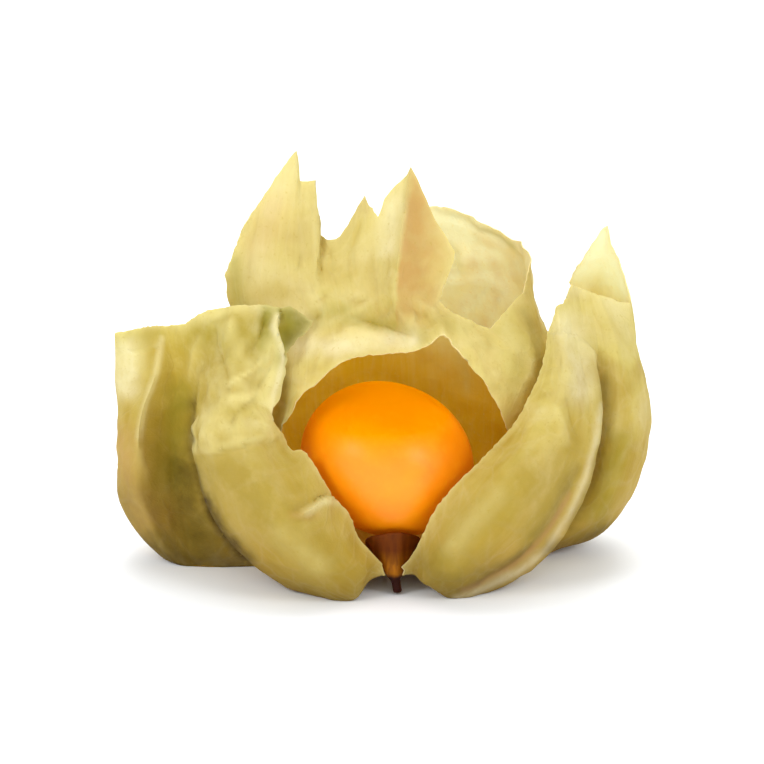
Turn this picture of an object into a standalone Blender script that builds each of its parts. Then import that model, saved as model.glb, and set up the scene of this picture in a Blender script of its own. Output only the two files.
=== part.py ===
"""Cape gooseberry (physalis) with its papery calyx torn open around the berry.

Metres, +Z up, resting on z = 0 with the stem end towards -Y.
Three grown pieces: husk (the calyx), berry, stem (pedicel stub and receptacle).
"""
import math
import bpy

for ob in list(bpy.data.objects):
    bpy.data.objects.remove(ob)

MM = 0.001
UNIT = 0.1017          # mm for one step of the across / rise numbers below
LEAN = math.radians(18.0)
WALL = 0.46            # mm, thickness of the calyx wall
ATTACH = (0.6, 2.1, 2.3)   # mm, where every rib of the calyx starts
RING = 1.25            # mm, radius of the calyx collar round the stem
PER_S, PER_T = 2, 2    # surface steps for one step of the control net
SHIFT = (0.46, -12.27)     # mm, moves the bounding box centre onto the origin


def q(across, rise, depth):
    """A point on a plane that leans back: across and up the plane in units, depth in mm."""
    return (across * UNIT, depth, (rise * UNIT - depth * math.sin(LEAN)) / math.cos(LEAN))


def w(x, y, z):
    """A plain point in mm."""
    return (x, y, z)


def ring(degrees):
    """Start of a rib on the collar; 0 degrees is the front, going round by the left."""
    a = math.radians(degrees)
    return (ATTACH[0] - RING * math.sin(a), ATTACH[1] - RING * math.cos(a), ATTACH[2])


# Each row is one line running from the collar out to the torn margin.
# LEFT: front-left lobe, its deep valley and the far-left flap.
# BACK: floor and back wall behind the berry.
# RIGHT: far-right pointed pocket, then the front-right lobe.
# HOOD: the band over the berry, left to right; each row runs from the window up to its tips.
LEFT = [
    [ring(45), q(-7, 37, 1.2), q(-22, 54, 0.4), q(-35, 80, 0.2), q(-57, 107, 0.8), q(-82, 146, 2.0), q(-105, 162, 3.2), q(-118, 188, 3.2), q(-108, 225, 4.2), q(-75, 278, 6.6)],
    [ring(58), q(-12, 31, 0.9), q(-26, 28, -0.8), q(-48, 48, -1.8), q(-70, 88, -1.5), q(-92, 125, 0.3), q(-116, 155, 1.6), q(-130, 195, 2.2), q(-122, 250, 3.6), q(-106, 291, 6.5)],
    [ring(72), q(-15, 25, 0.9), q(-38, 6, -0.6), q(-73, 28, -2.8), q(-106, 65, -3.2), q(-130, 110, -1.8), q(-148, 152, 0.2), q(-158, 200, 1.8), q(-153, 250, 3.0), q(-140, 292, 5.8)],
    [ring(86), q(-16, 23, 1.6), q(-43, 0, 0.2), q(-88, 10, 2.0), q(-139, 39, 4.5), q(-176, 87, 5.8), q(-193, 148, 5.8), q(-190, 186, 6.2), q(-182, 245, 6.0), q(-176, 289, 6.5)],
    [ring(100), w(-1.5, 3.0, 1.8), w(-5.5, 5.5, .3), w(-10.4, 8.5, .2), w(-13.6, 10.6, 1.7), q(-162, 76, 12.6), q(-179, 135, 13.0), q(-188, 186, 11.2), q(-198, 240, 8.6), q(-198, 278, 8.0)],
    [ring(114), w(-1.3, 3.7, 1.8), w(-6, 8, .2), w(-12.5, 11.9, 0), q(-182, 32, 10.6), q(-204, 85, 15.2), q(-212, 138, 15.0), q(-212, 188, 13.2), q(-212, 235, 10.6), q(-215, 274, 9.6)],
    [ring(128), w(-.9, 4.2, 1.8), w(-5.5, 10, .3), w(-13, 14.5, .3), q(-204, 34, 11.3), q(-245, 93, 12.6), q(-250, 148, 11.4), q(-246, 188, 10.8), q(-231, 230, 9.9), q(-225, 272, 10.2)],
    [ring(142), w(-.4, 4.6, 1.8), w(-5, 12, .5), w(-13, 17, .8), q(-215, 48, 14.6), q(-267, 97, 16.3), q(-271, 140, 15.5), q(-271, 175, 15), q(-272, 220, 14.5), q(-271, 266, 14)],
    [ring(156), w(0, 4.9, 1.9), w(-4, 13.5, .8), w(-12, 20.5, 1.2), w(-19, 22.5, 3.5), w(-23, 22, 8), w(-24.5, 21, 13), w(-24.5, 20, 17), w(-24.2, 19, 20.5), w(-23.5, 18, 23.5)],
]

BACK = [
    LEFT[8][:3]+[w(-6.8, 17.6, 2.0), w(-12.5, 16, 5.5), w(-14.3, 13.5, 11.5), w(-14.8, 12, 18), q(-152, 270, 12), q(-159, 325, 13), w(-15.2, 15.0, 32.6)],
    [ring(163), w(.25, 5.1, 1.9), w(-2.8, 14, .7), w(-6.5, 19.5, 1.5), w(-10.5, 21, 5), w(-12.5, 20.5, 10.5), w(-13, 19.5, 16.5), w(-12.8, 19.5, 23), w(-12.2, 20, 28.5), q(-103, 375, 20)],
    [ring(170), w(.45, 5.2, 1.9), w(-1.6, 14.5, .4), w(-4, 21.5, 1.0), w(-6.5, 24.5, 4.5), w(-8, 25, 10), w(-8.2, 24.5, 16), w(-7.8, 24.3, 21.5), w(-7, 24, 26.5), q(-63, 348, 23)],
    [ring(177), w(.6, 5.2, 1.9), w(-.4, 15, .2), w(-1.5, 22.5, .6), w(-2.5, 25.2, 4), w(-3, 26, 10), w(-3, 26.6, 16), w(-2.8, 27, 22), w(-2.2, 27, 27), q(-23, 365, 27)],
    [ring(184), w(.75, 5.2, 1.9), w(1.2, 15, .2), w(1.5, 22.5, .5), w(1.8, 25.5, 4), w(2, 26.3, 10), w(2, 27, 16), w(1.8, 27.5, 22), w(1.6, 27.7, 27), q(17, 388, 27.8)],
    [ring(191), w(.9, 5.2, 1.9), w(2.5, 15, .3), w(3.9, 22.2, .8), w(6, 24.8, 4.5), w(6.8, 25.8, 10.5), w(6.8, 26.5, 16.5), w(6.2, 27, 22), w(5.6, 27.2, 27.2), q(48, 394, 27.2)],
    [ring(198), w(1.05, 5.1, 1.9), w(3.6, 14.6, .5), w(5.8, 21.2, 1.3), w(10, 22.8, 5), w(11.2, 23.4, 11), w(11.4, 24, 17), w(10.6, 24.8, 22.5), w(9.6, 25.2, 27.5), q(86, 381, 25.2)],
    [ring(205), w(1.2, 4.9, 1.9), w(4.6, 14.2, .7), w(6.9, 19.2, 1.7), w(12.5, 18.6, 6), w(13.6, 18.5, 12), w(14.4, 18.8, 17.5), w(14.6, 19.8, 22.5), w(14, 20.8, 26.8), q(124, 362, 21.5)],
    [ring(212), w(1.4, 4.6, 1.9), w(5.5, 13.5, .8), w(7.7, 17.9, 2.1), w(13, 14, 7), q(127, 155, 10), q(158, 210, 11.5), q(161, 255, 12.5), q(147, 285, 14), q(141, 338, 15.5)],
]

RIGHT = [
    BACK[8][:3]+[w(13, 20, 1.4), w(18.5, 23, 4), w(21, 23.5, 9), w(21.5, 22.5, 15), w(20.5, 20.5, 21), w(19.3, 18, 26), q(184, 320, 16.5)],
    [ring(224), w(1.6, 4.3, 1.8), w(6.5, 13, .6), w(15, 19.5, .8), w(21.5, 21.5, 3.5), w(24.5, 22, 9), w(25.3, 21.5, 15), w(24.8, 20, 21), w(22.8, 18, 27.5), q(217, 371, 16.5)],
    [ring(237), w(2.1, 4.0, 1.8), w(7, 11.5, .2), w(15, 16.8, .3), q(212, 67, 17), q(247, 110, 16), q(263, 165, 15), q(260, 205, 14.5), q(249, 250, 14), q(243, 296, 13.5)],
    [ring(249), w(2.5, 3.7, 1.8), w(7, 9.2, .1), w(14, 14.2, .15), q(190, 59, 14.6), q(220, 100, 10.2), q(237, 160, 9.2), q(240, 205, 9.2), q(230, 255, 10.4), q(213, 304, 12)],
    [ring(257), w(2.62, 3.35, 1.85), w(8.4, 5.4, .1), w(12.4, 8.9, .15), q(153, 51, 11.3), q(188, 106, 11.4), q(202, 166, 10.4), q(206, 210, 10.0), q(209, 255, 10.2), q(200, 309, 12.2)],
    [ring(265), w(2.72, 3.0, 1.9), q(78, 5, 1.6), q(121, 18, 3.4), q(165, 52, 6.6), q(201, 113, 7.6), q(212, 170, 7.6), q(212, 213, 8.1), q(200, 255, 9.4), q(189, 312, 12.4)],
    [ring(274), w(2.8, 2.5, 2.0), q(67, 2, .8), q(102, 23, 1.5), q(148, 60, 3.6), q(183, 116, 5.4), q(200, 165, 6.4), q(199, 210, 7.2), q(186, 255, 8.3), q(179, 303, 10.7)],
    [ring(288), w(2.6, 1.9, 2.2), q(52, 12, -.3), q(82, 38, -2.2), q(127, 85, -1.8), q(157, 135, .5), q(177, 180, 2.8), q(180, 215, 4.3), q(175, 255, 6.5), q(170, 293, 9)],
    [ring(302), w(2.25, 1.45, 2.6), q(37, 25, -.6), q(62, 55, -2.5), q(97, 105, -1.5), q(132, 150, .8), q(152, 190, 3), q(164, 225, 5), q(167, 255, 7), q(163, 278, 8.5)],
    [ring(315), q(19, 38, 1.2), q(36, 65, -.2), q(54, 98, .2), q(82, 129, 1.5), q(115, 162, 3.5), q(138, 197, 5), q(150, 220, 6), q(156, 240, 7.2), q(159, 260, 8.5)],
]

HOOD = [
    BACK[0][5:9]+[q(-147, 369, 13.2)],
    [q(-105, 164, 4.0), q(-106, 200, 5.0), q(-113, 250, 7.5), q(-126, 315, 11.5), q(-120, 410, 14.5)],
    [q(-88, 202, 4.2), q(-86, 230, 5.3), q(-88, 275, 8.0), q(-98, 340, 12.0), q(-91, 447, 15)],
    [q(-58, 229, 3.6), q(-60, 250, 4.8), q(-64, 285, 7.8), q(-72, 330, 10.5), q(-71, 418, 14)],
    [q(-36, 241, 3.4), q(-38, 258, 4.6), q(-43, 285, 7.2), q(-53, 325, 10), q(-59, 360, 12)],
    [q(-10, 245, 3.3), q(-13, 265, 4.8), q(-20, 290, 7.2), q(-26, 340, 10), q(-23, 403, 12.5)],
    [q(14, 247, 3.3), q(8, 267, 5.1), q(-4, 292, 7.7), q(-8, 338, 9.9), q(-10, 384, 11.5)],
    [q(32, 250, 3.3), q(23, 269, 5.0), q(9, 297, 7.0), q(11, 348, 7.7), q(23, 431, 12)],
    [q(44, 258, 3.5), q(39, 271, 5.2), q(31, 292, 7.4), q(43, 322, 9.0), q(62, 338, 10.0)],
    [q(52, 263, 3.7), q(51, 272, 5.0), q(46, 283, 6.2), q(46, 291, 7.0), q(52, 298, 7.8)],
    [q(67, 249, 4.0), q(66, 262, 5.0), q(65, 272, 5.7), q(65, 280, 6.3), q(66, 287, 7.0)],
    [q(90, 223, 4.6), q(90, 240, 5.2), q(89, 255, 5.8), q(85, 267, 6.4), q(80, 279, 7.2)],
    [q(109, 195, 5.8), q(120, 220, 6.3), q(124, 240, 7.0), q(120, 255, 7.8), q(106, 269, 8.5)],
    [q(120, 168, 7.0), q(144, 204, 8.2), q(154, 237, 9.2), q(152, 265, 10.8), q(135, 306, 12.6)],
    BACK[8][5:],
]


def spline_weights(count, per, knots=None):
    """Rows of cubic spline weights over knots, with straight run-out at both ends."""
    u = knots or list(range(count))
    slope = []
    for i in range(count):
        row = [0.0] * count
        if i == 0:
            row[0], row[1] = -1 / (u[1] - u[0]), 1 / (u[1] - u[0])
        elif i == count - 1:
            row[-2], row[-1] = -1 / (u[-1] - u[-2]), 1 / (u[-1] - u[-2])
        else:
            lo, hi = u[i] - u[i - 1], u[i + 1] - u[i]
            row[i - 1] = -hi / (lo * (lo + hi))
            row[i + 1] = lo / (hi * (lo + hi))
            row[i] = -row[i - 1] - row[i + 1]
        slope.append(row)
    rows = []
    for k in range((count - 1) * per + 1):
        i = min(k // per, count - 2)
        t = (k - i * per) / per
        span = u[i + 1] - u[i]
        h00, h01 = 2 * t ** 3 - 3 * t * t + 1, -2 * t ** 3 + 3 * t * t
        h10, h11 = (t ** 3 - 2 * t * t + t) * span, (t ** 3 - t * t) * span
        row = [h10 * p + h11 * r for p, r in zip(slope[i], slope[i + 1])]
        row[i] += h00
        row[i + 1] += h01
        rows.append(row)
    return rows


def straight_weights(count, per):
    rows = []
    for k in range((count - 1) * per + 1):
        i = min(k // per, count - 2)
        t = (k - i * per) / per
        row = [0.0] * count
        row[i], row[i + 1] = 1 - t, t
        rows.append(row)
    return rows


def mix(weights, points):
    return tuple(sum(a * p[c] for a, p in zip(weights, points) if a) for c in range(3))


def surface(net, knots):
    """Smooth surface through a control net; its margin row keeps sharp points."""
    across = spline_weights(len(net), PER_S)
    margin = straight_weights(len(net), PER_S)
    along = spline_weights(len(net[0]), PER_T, knots)
    out = []
    for sa, sm in zip(across, margin):
        cols = [mix(sa, [row[j] for row in net]) for j in range(len(net[0]))]
        cols[-1] = mix(sm, [row[-1] for row in net])
        out.append([mix(al, cols) for al in along])
    return out


def half(a, b):
    return tuple((p + r) / 2 for p, r in zip(a, b))


LOBE_KNOTS = [0, .35, 1.5, 2.5, 3.5, 4.5, 5.5, 6.5, 7.5, 8.5]
HOOD_KNOTS = [0, .6, 1.4, 2.6, 4]
left, back, right = surface(LEFT, LOBE_KNOTS), surface(BACK, LOBE_KNOTS), surface(RIGHT, LOBE_KNOTS)
hood = surface(HOOD, HOOD_KNOTS)
JOIN = 2 * PER_T           # rows shared near the collar by neighbouring lobes
SIDE = 5 * PER_T           # row of the back wall where the hood starts
TORN = 3 * PER_T           # above this row the hood has torn free of the back wall on the left
for j in range(JOIN + 1):
    left[-1][j] = back[0][j] = half(left[-1][j], back[0][j])
    right[0][j] = back[-1][j] = half(right[0][j], back[-1][j])
for j in range(len(hood[0])):
    if j <= TORN:
        hood[0][j] = back[0][SIDE + j]
    hood[-1][j] = back[-1][SIDE + j]

verts, thin, faces, index = [], [], [], {}


def vertex(name, i, j):
    """Index of a surface point; shared edges resolve to one vertex."""
    if name == 'hood' and (i == len(hood) - 1 or i == 0 and j <= TORN):
        return vertex('back', 0 if i == 0 else len(back) - 1, SIDE + j)
    if name == 'back' and i == 0 and j <= JOIN:
        return vertex('left', len(left) - 1, j)
    if name == 'right' and i == 0 and j <= JOIN:
        return vertex('back', len(back) - 1, j)
    key = (name, i, j)
    if key not in index:
        index[key] = len(verts)
        g = {'left': left, 'back': back, 'right': right, 'hood': hood}[name]
        x, y, z = g[i][j]
        verts.append((x, y, max(z, WALL / 2 - 0.03)))
        thin.append(0.7 if j in (0, len(g[0]) - 1) else 1.0)
    return index[key]


for name, g in (('left', left), ('back', back), ('right', right), ('hood', hood)):
    for i in range(len(g) - 1):
        for j in range(len(g[0]) - 1):
            a, b, c, d = (vertex(name, i, j), vertex(name, i + 1, j),
                          vertex(name, i + 1, j + 1), vertex(name, i, j + 1))
            quad = (a, d, c, b) if name != 'hood' else (a, b, c, d)
            faces.append((quad[0], quad[1], quad[2]))
            faces.append((quad[0], quad[2], quad[3]))


def sub(a, b):
    return (a[0] - b[0], a[1] - b[1], a[2] - b[2])


def cross(a, b):
    return (a[1] * b[2] - a[2] * b[1], a[2] * b[0] - a[0] * b[2], a[0] * b[1] - a[1] * b[0])


def unit(a):
    n = math.sqrt(sum(c * c for c in a)) or 1.0
    return (a[0] / n, a[1] / n, a[2] / n)


def thicken(verts, faces, wall, thin):
    """Closed solid round an open surface; thin scales the wall at each point."""
    normal = [[0.0, 0.0, 0.0] for _ in verts]
    for f in faces:
        for k in range(3):
            p, n1, n2 = verts[f[k]], verts[f[(k + 1) % 3]], verts[f[(k + 2) % 3]]
            e1, e2 = unit(sub(n1, p)), unit(sub(n2, p))
            ang = math.acos(max(-1.0, min(1.0, sum(x * y for x, y in zip(e1, e2)))))
            fn = unit(cross(sub(n1, p), sub(n2, p)))
            for c in range(3):
                normal[f[k]][c] += fn[c] * ang
    outer, inner = [], []
    for p, n, t in zip(verts, normal, thin):
        n = unit(n)
        h = wall / 2 * t
        outer.append(tuple(a + h * b for a, b in zip(p, n)))
        inner.append(tuple(a - h * b for a, b in zip(p, n)))
    count = len(verts)
    solid = [tuple(f) for f in faces]
    solid += [(f[0] + count, f[2] + count, f[1] + count) for f in faces]
    edges = {}
    for f in faces:
        for k in range(3):
            edges[(f[k], f[(k + 1) % 3])] = True
    for a, b in edges:
        if (b, a) not in edges:
            solid.append((a, a + count, b + count))
            solid.append((a, b + count, b))
    return outer + inner, solid


def material(name, colour, roughness):
    m = bpy.data.materials.new(name)
    m.use_nodes = True
    bsdf = m.node_tree.nodes['Principled BSDF']
    bsdf.inputs['Base Color'].default_value = (*colour, 1.0)
    bsdf.inputs['Roughness'].default_value = roughness
    return m


def add(name, verts, faces, mat):
    pts = [((x + SHIFT[0]) * MM, (y + SHIFT[1]) * MM, z * MM) for x, y, z in verts]
    me = bpy.data.meshes.new(name)
    me.from_pydata(pts, [], faces)
    me.materials.append(mat)
    me.validate()
    ob = bpy.data.objects.new(name, me)
    bpy.context.scene.collection.objects.link(ob)
    return ob


# husk: the underside is pressed flat where it touches the table
husk_verts, husk_faces = thicken(verts, faces, WALL, thin)
husk_verts = [(x, y, z if z > 0.012 else 0.0) for x, y, z in husk_verts]
add('husk', husk_verts, husk_faces, material('husk', (0.62, 0.50, 0.20), 0.75))


def lathe(profile, steps):
    """Closed solid through (centre, radius, axis) rings, ends closed to points."""
    v, f, rows = [], [], []
    for centre, radius, axis in profile:
        ax = unit(axis)
        side = unit(cross((0.0, 1.0, 0.0), ax)) if abs(ax[1]) < 0.9 else (1.0, 0.0, 0.0)
        up = cross(ax, side)
        if radius == 0:
            v.append(centre)
            rows.append([len(v) - 1])
            continue
        row = []
        for k in range(steps):
            a = 2 * math.pi * k / steps
            v.append(tuple(c + radius * (math.cos(a) * s + math.sin(a) * u)
                           for c, s, u in zip(centre, side, up)))
            row.append(len(v) - 1)
        rows.append(row)
    for lo, hi in zip(rows, rows[1:]):
        for k in range(steps):
            k2 = (k + 1) % steps
            if len(lo) == 1:
                f.append((lo[0], hi[k2], hi[k]))
            elif len(hi) == 1:
                f.append((lo[k], lo[k2], hi[0]))
            else:
                f.append((lo[k], lo[k2], hi[k2], hi[k]))
    return v, f


# berry: a slightly flattened ball
BERRY_AT = (-0.05, 9.0, 12.15)
BERRY_TILT = -0.12     # sideways lean of its axis, mm for each mm of height
BERRY_WIDE, BERRY_HIGH = 8.75, 7.85
N = 18
rings = []
for i in range(N + 1):
    a = -math.pi / 2 + math.pi * i / N
    r = 0.0 if i in (0, N) else BERRY_WIDE * math.cos(a)
    up = BERRY_HIGH * math.sin(a)
    rings.append(((BERRY_AT[0] + BERRY_TILT * up, BERRY_AT[1], BERRY_AT[2] + up), r, (0, 0, 1)))
v, f = lathe(rings, 32)
add('berry', v, f, material('berry', (0.90, 0.36, 0.03), 0.3))

# stem: stub, neck through the collar, and the flared receptacle under the berry
axis = unit(sub(BERRY_AT, ATTACH))


def along_axis(s):
    return tuple(a + s * b for a, b in zip(ATTACH, axis))


stub = [((0.92, 2.0, 0.25), 0.0), ((0.92, 2.0, 0.25), 0.33), ((0.86, 2.0, 0.8), 0.36),
        ((0.72, 2.05, 1.6), 0.42)]
rings = [(c, r, (-0.1, 0.03, 1.0)) for c, r in stub]
rings += [(along_axis(0.0), 0.46, (0.0, 0.3, 1.0)), (along_axis(0.8), 0.48, axis),
          (along_axis(1.7), 1.15, axis), (along_axis(2.8), 2.35, axis),
          (along_axis(3.3), 2.6, axis), (along_axis(3.45), 2.3, axis), (along_axis(3.3), 0.0, axis)]
v, f = lathe(rings, 20)
add('stem', v, f, material('stem', (0.10, 0.025, 0.012), 0.6))
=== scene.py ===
"""Cape gooseberry in its torn papery husk, on a plain pale floor in soft studio light."""
import math

import bpy
import numpy as np
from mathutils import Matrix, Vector, noise


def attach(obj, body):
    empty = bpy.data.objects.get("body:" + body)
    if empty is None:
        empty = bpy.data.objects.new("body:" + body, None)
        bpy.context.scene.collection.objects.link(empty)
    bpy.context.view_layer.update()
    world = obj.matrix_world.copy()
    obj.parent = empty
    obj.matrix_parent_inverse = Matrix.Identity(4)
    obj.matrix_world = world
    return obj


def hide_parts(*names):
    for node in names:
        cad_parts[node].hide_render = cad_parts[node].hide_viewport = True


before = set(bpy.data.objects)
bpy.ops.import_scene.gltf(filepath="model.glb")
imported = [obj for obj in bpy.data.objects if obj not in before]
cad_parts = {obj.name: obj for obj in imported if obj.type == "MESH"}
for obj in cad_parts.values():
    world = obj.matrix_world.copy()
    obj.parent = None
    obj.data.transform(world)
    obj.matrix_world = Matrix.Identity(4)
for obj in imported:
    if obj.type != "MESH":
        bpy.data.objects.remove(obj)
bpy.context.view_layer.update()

MM = 0.001
UNIT = 0.1017
LEAN = math.radians(18.0)
ATTACH = (0.6, 2.1, 2.3)
RING = 1.25
SHIFT = np.array([0.46, -12.27, 0.0])
LEAF = 0.13            # mm, thickness of the husk's leaf


def q(across, rise, depth):
    return (across * UNIT, depth, (rise * UNIT - depth * math.sin(LEAN)) / math.cos(LEAN))


def w(x, y, z):
    return (x, y, z)


def ring(degrees):
    a = math.radians(degrees)
    return (ATTACH[0] - RING * math.sin(a), ATTACH[1] - RING * math.cos(a), ATTACH[2])


# ---------------------------------------------------------------- control nets
LEFT = [
    [ring(45), q(-7, 37, 1.2), q(-22, 54, 0.4), q(-35, 80, 0.2), q(-57, 107, 0.8), q(-82, 146, 2.0), q(-105, 162, 3.2), q(-118, 188, 3.2), q(-108, 225, 4.2), q(-75, 278, 6.6)],
    [ring(58), q(-12, 31, 0.9), q(-26, 28, -0.8), q(-48, 48, -1.8), q(-70, 88, -1.5), q(-92, 125, 0.3), q(-116, 155, 1.6), q(-130, 195, 2.2), q(-122, 250, 3.6), q(-106, 291, 6.5)],
    [ring(72), q(-15, 25, 0.9), q(-38, 6, -0.6), q(-73, 28, -2.8), q(-106, 65, -3.2), q(-130, 110, -1.8), q(-148, 152, 0.2), q(-158, 200, 1.8), q(-153, 250, 3.0), q(-140, 292, 5.8)],
    [ring(86), q(-16, 23, 1.6), q(-43, 0, 0.2), q(-88, 10, 2.0), q(-139, 39, 4.5), q(-176, 87, 5.8), q(-193, 148, 5.8), q(-190, 186, 6.2), q(-182, 245, 6.0), q(-176, 289, 6.5)],
    [ring(100), w(-1.5, 3.0, 1.8), w(-5.5, 5.5, .3), w(-10.4, 8.5, .2), w(-13.6, 10.6, 1.7), q(-162, 76, 12.6), q(-179, 135, 13.0), q(-188, 186, 11.2), q(-198, 240, 8.6), q(-198, 278, 8.0)],
    [ring(114), w(-1.3, 3.7, 1.8), w(-6, 8, .2), w(-12.5, 11.9, 0), q(-182, 32, 10.6), q(-204, 85, 15.2), q(-212, 138, 15.0), q(-212, 188, 13.2), q(-212, 235, 10.6), q(-215, 274, 9.6)],
    [ring(128), w(-.9, 4.2, 1.8), w(-5.5, 10, .3), w(-13, 14.5, .3), q(-204, 34, 11.3), q(-245, 93, 12.6), q(-250, 148, 11.4), q(-246, 188, 10.8), q(-231, 230, 9.9), q(-225, 272, 10.2)],
    [ring(142), w(-.4, 4.6, 1.8), w(-5, 12, .5), w(-13, 17, .8), q(-215, 48, 14.6), q(-267, 97, 16.3), q(-271, 140, 15.5), q(-271, 175, 15), q(-272, 220, 14.5), q(-271, 266, 14)],
    [ring(156), w(0, 4.9, 1.9), w(-4, 13.5, .8), w(-12, 20.5, 1.2), w(-19, 22.5, 3.5), w(-23, 22, 8), w(-24.5, 21, 13), w(-24.5, 20, 17), w(-24.2, 19, 20.5), w(-23.5, 18, 23.5)],
]

BACK = [
    LEFT[8][:3]+[w(-6.8, 17.6, 2.0), w(-12.5, 16, 5.5), w(-14.3, 13.5, 11.5), w(-14.8, 12, 18), q(-152, 270, 12), q(-159, 325, 13), w(-15.2, 15.0, 32.6)],
    [ring(163), w(.25, 5.1, 1.9), w(-2.8, 14, .7), w(-6.5, 19.5, 1.5), w(-10.5, 21, 5), w(-12.5, 20.5, 10.5), w(-13, 19.5, 16.5), w(-12.8, 19.5, 23), w(-12.2, 20, 28.5), q(-103, 375, 20)],
    [ring(170), w(.45, 5.2, 1.9), w(-1.6, 14.5, .4), w(-4, 21.5, 1.0), w(-6.5, 24.5, 4.5), w(-8, 25, 10), w(-8.2, 24.5, 16), w(-7.8, 24.3, 21.5), w(-7, 24, 26.5), q(-63, 348, 23)],
    [ring(177), w(.6, 5.2, 1.9), w(-.4, 15, .2), w(-1.5, 22.5, .6), w(-2.5, 25.2, 4), w(-3, 26, 10), w(-3, 26.6, 16), w(-2.8, 27, 22), w(-2.2, 27, 27), q(-23, 365, 27)],
    [ring(184), w(.75, 5.2, 1.9), w(1.2, 15, .2), w(1.5, 22.5, .5), w(1.8, 25.5, 4), w(2, 26.3, 10), w(2, 27, 16), w(1.8, 27.5, 22), w(1.6, 27.7, 27), q(17, 388, 27.8)],
    [ring(191), w(.9, 5.2, 1.9), w(2.5, 15, .3), w(3.9, 22.2, .8), w(6, 24.8, 4.5), w(6.8, 25.8, 10.5), w(6.8, 26.5, 16.5), w(6.2, 27, 22), w(5.6, 27.2, 27.2), q(48, 394, 27.2)],
    [ring(198), w(1.05, 5.1, 1.9), w(3.6, 14.6, .5), w(5.8, 21.2, 1.3), w(10, 22.8, 5), w(11.2, 23.4, 11), w(11.4, 24, 17), w(10.6, 24.8, 22.5), w(9.6, 25.2, 27.5), q(86, 381, 25.2)],
    [ring(205), w(1.2, 4.9, 1.9), w(4.6, 14.2, .7), w(6.9, 19.2, 1.7), w(12.5, 18.6, 6), w(13.6, 18.5, 12), w(14.4, 18.8, 17.5), w(14.6, 19.8, 22.5), w(14, 20.8, 26.8), q(124, 362, 21.5)],
    [ring(212), w(1.4, 4.6, 1.9), w(5.5, 13.5, .8), w(7.7, 17.9, 2.1), w(13, 14, 7), q(127, 155, 10), q(158, 210, 11.5), q(161, 255, 12.5), q(147, 285, 14), q(141, 338, 15.5)],
]

RIGHT = [
    BACK[8][:3]+[w(13, 20, 1.4), w(18.5, 23, 4), w(21, 23.5, 9), w(21.5, 22.5, 15), w(20.5, 20.5, 21), w(19.3, 18, 26), q(184, 320, 16.5)],
    [ring(224), w(1.6, 4.3, 1.8), w(6.5, 13, .6), w(15, 19.5, .8), w(21.5, 21.5, 3.5), w(24.5, 22, 9), w(25.3, 21.5, 15), w(24.8, 20, 21), w(22.8, 18, 27.5), q(217, 371, 16.5)],
    [ring(237), w(2.1, 4.0, 1.8), w(7, 11.5, .2), w(15, 16.8, .3), q(212, 67, 17), q(247, 110, 16), q(263, 165, 15), q(260, 205, 14.5), q(249, 250, 14), q(243, 296, 13.5)],
    [ring(249), w(2.5, 3.7, 1.8), w(7, 9.2, .1), w(14, 14.2, .15), q(190, 59, 14.6), q(220, 100, 10.2), q(237, 160, 9.2), q(240, 205, 9.2), q(230, 255, 10.4), q(213, 304, 12)],
    [ring(257), w(2.62, 3.35, 1.85), w(8.4, 5.4, .1), w(12.4, 8.9, .15), q(153, 51, 11.3), q(188, 106, 11.4), q(202, 166, 10.4), q(206, 210, 10.0), q(209, 255, 10.2), q(200, 309, 12.2)],
    [ring(265), w(2.72, 3.0, 1.9), q(78, 5, 1.6), q(121, 18, 3.4), q(165, 52, 6.6), q(201, 113, 7.6), q(212, 170, 7.6), q(212, 213, 8.1), q(200, 255, 9.4), q(189, 312, 12.4)],
    [ring(274), w(2.8, 2.5, 2.0), q(67, 2, .8), q(102, 23, 1.5), q(148, 60, 3.6), q(183, 116, 5.4), q(200, 165, 6.4), q(199, 210, 7.2), q(186, 255, 8.3), q(179, 303, 10.7)],
    [ring(288), w(2.6, 1.9, 2.2), q(52, 12, -.3), q(82, 38, -2.2), q(127, 85, -1.8), q(157, 135, .5), q(177, 180, 2.8), q(180, 215, 4.3), q(175, 255, 6.5), q(170, 293, 9)],
    [ring(302), w(2.25, 1.45, 2.6), q(37, 25, -.6), q(62, 55, -2.5), q(97, 105, -1.5), q(132, 150, .8), q(152, 190, 3), q(164, 225, 5), q(167, 255, 7), q(163, 278, 8.5)],
    [ring(315), q(19, 38, 1.2), q(36, 65, -.2), q(54, 98, .2), q(82, 129, 1.5), q(115, 162, 3.5), q(138, 197, 5), q(150, 220, 6), q(156, 240, 7.2), q(159, 260, 8.5)],
]

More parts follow.
